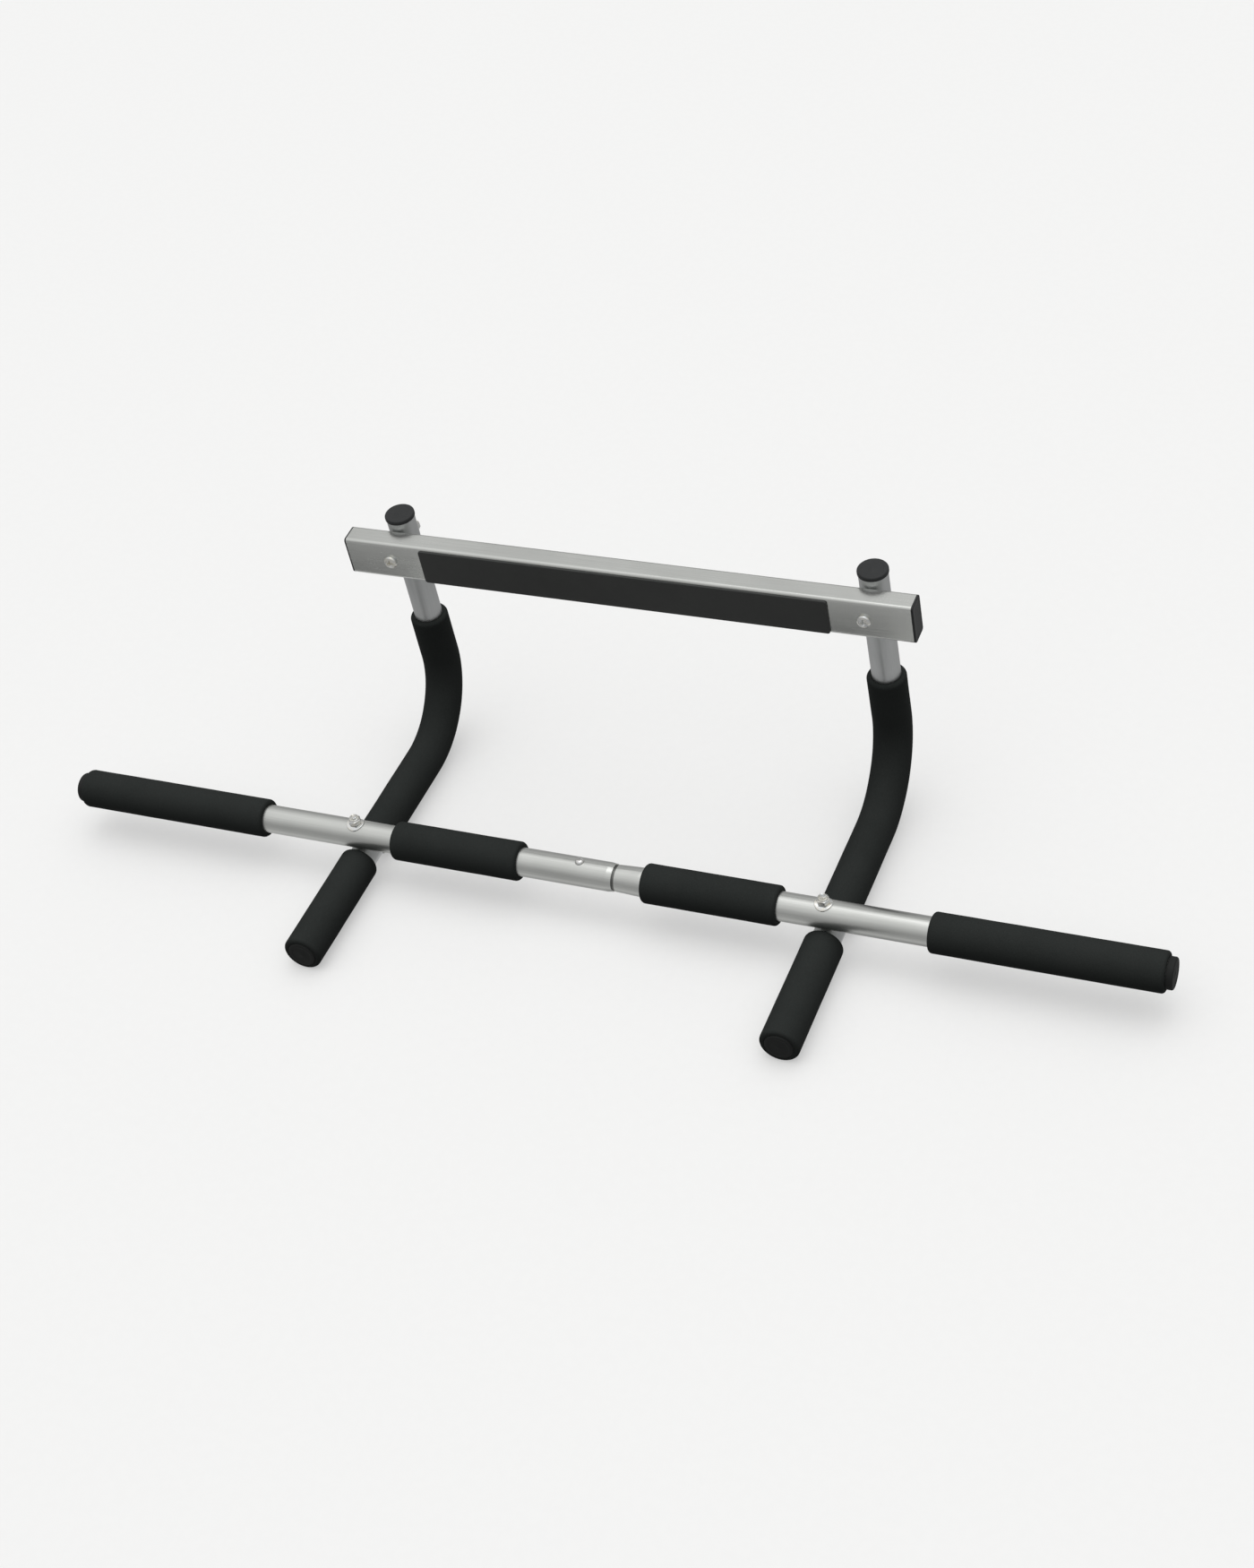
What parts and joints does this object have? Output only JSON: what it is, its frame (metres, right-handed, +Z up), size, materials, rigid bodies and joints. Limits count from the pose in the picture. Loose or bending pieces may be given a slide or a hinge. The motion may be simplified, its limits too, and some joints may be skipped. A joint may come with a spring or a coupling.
{
  "type": "pull up bar",
  "caption": "Doorway pull up bar: telescoping main bar bolted across two bent arms that carry a padded cross bar, with foam grips and sleeves.",
  "frame": {"origin": "on the surface it lies on, under the middle of its bounding box", "axes": "+X along the main bar from its left tube to its right tube, +Y from the handles towards the cross bar, +Z up"},
  "size_m": [1.016, 0.3421, 0.2552],
  "materials": {
    "bar_steel": "satin zinc plated tube with a fine drawn grain",
    "arm_steel": "satin plated tube, a little darker than the main bar",
    "cross_steel": "satin plated rectangular tube",
    "zinc": "bright zinc plated fastener",
    "spring_steel": "oiled spring steel",
    "nylon": "translucent white nylon",
    "foam": "closed cell foam with a matte skin",
    "pad_rubber": "smooth black rubber",
    "black_plastic": "moulded black plastic with a faint texture"
  },
  "bodies": {
    "frame": {"arm_left": "arm_steel", "arm_right": "arm_steel", "arm_saddle_left": "zinc", "arm_saddle_right": "zinc", "arm_sleeve_left": "foam", "arm_sleeve_right": "foam", "arm_top_cap_left": "black_plastic", "arm_top_cap_right": "black_plastic", "bar_bolt_left": "zinc", "bar_bolt_right": "zinc", "bar_end_plug_left": "black_plastic", "bar_end_plug_right": "black_plastic", "bar_nut_left": "zinc", "bar_nut_right": "zinc", "bar_nut_ring_left": "nylon", "bar_nut_ring_right": "nylon", "bar_saddle_left": "zinc", "bar_saddle_right": "zinc", "cross_bar": "cross_steel", "cross_bar_cap_left": "black_plastic", "cross_bar_cap_right": "black_plastic", "cross_bar_nut_left": "zinc", "cross_bar_nut_right": "zinc", "cross_bar_nut_ring_left": "nylon", "cross_bar_nut_ring_right": "nylon", "cross_bar_saddle_left": "zinc", "cross_bar_saddle_right": "zinc", "cross_bar_screw_left": "zinc", "cross_bar_screw_right": "zinc", "handle_grip_left": "foam", "handle_grip_right": "foam", "handle_plug_left": "black_plastic", "handle_plug_right": "black_plastic", "inner_grip_left": "foam", "inner_grip_right": "foam", "main_bar_left": "bar_steel", "main_bar_right": "bar_steel", "outer_grip_left": "foam", "outer_grip_right": "foam", "snap_spring": "spring_steel", "wall_pad": "pad_rubber"},
    "snap_button": {"snap_button": "zinc"}
  },
  "joints": [
    {"name": "snap_button_press", "type": "slide", "parent": "frame", "child": "snap_button", "axis": [0, 0, -1], "range_m": [0, 0.004], "stiffness_N_per_m": 2500, "springref_m": -0.001, "deforming": ["snap_spring"]}
  ]
}
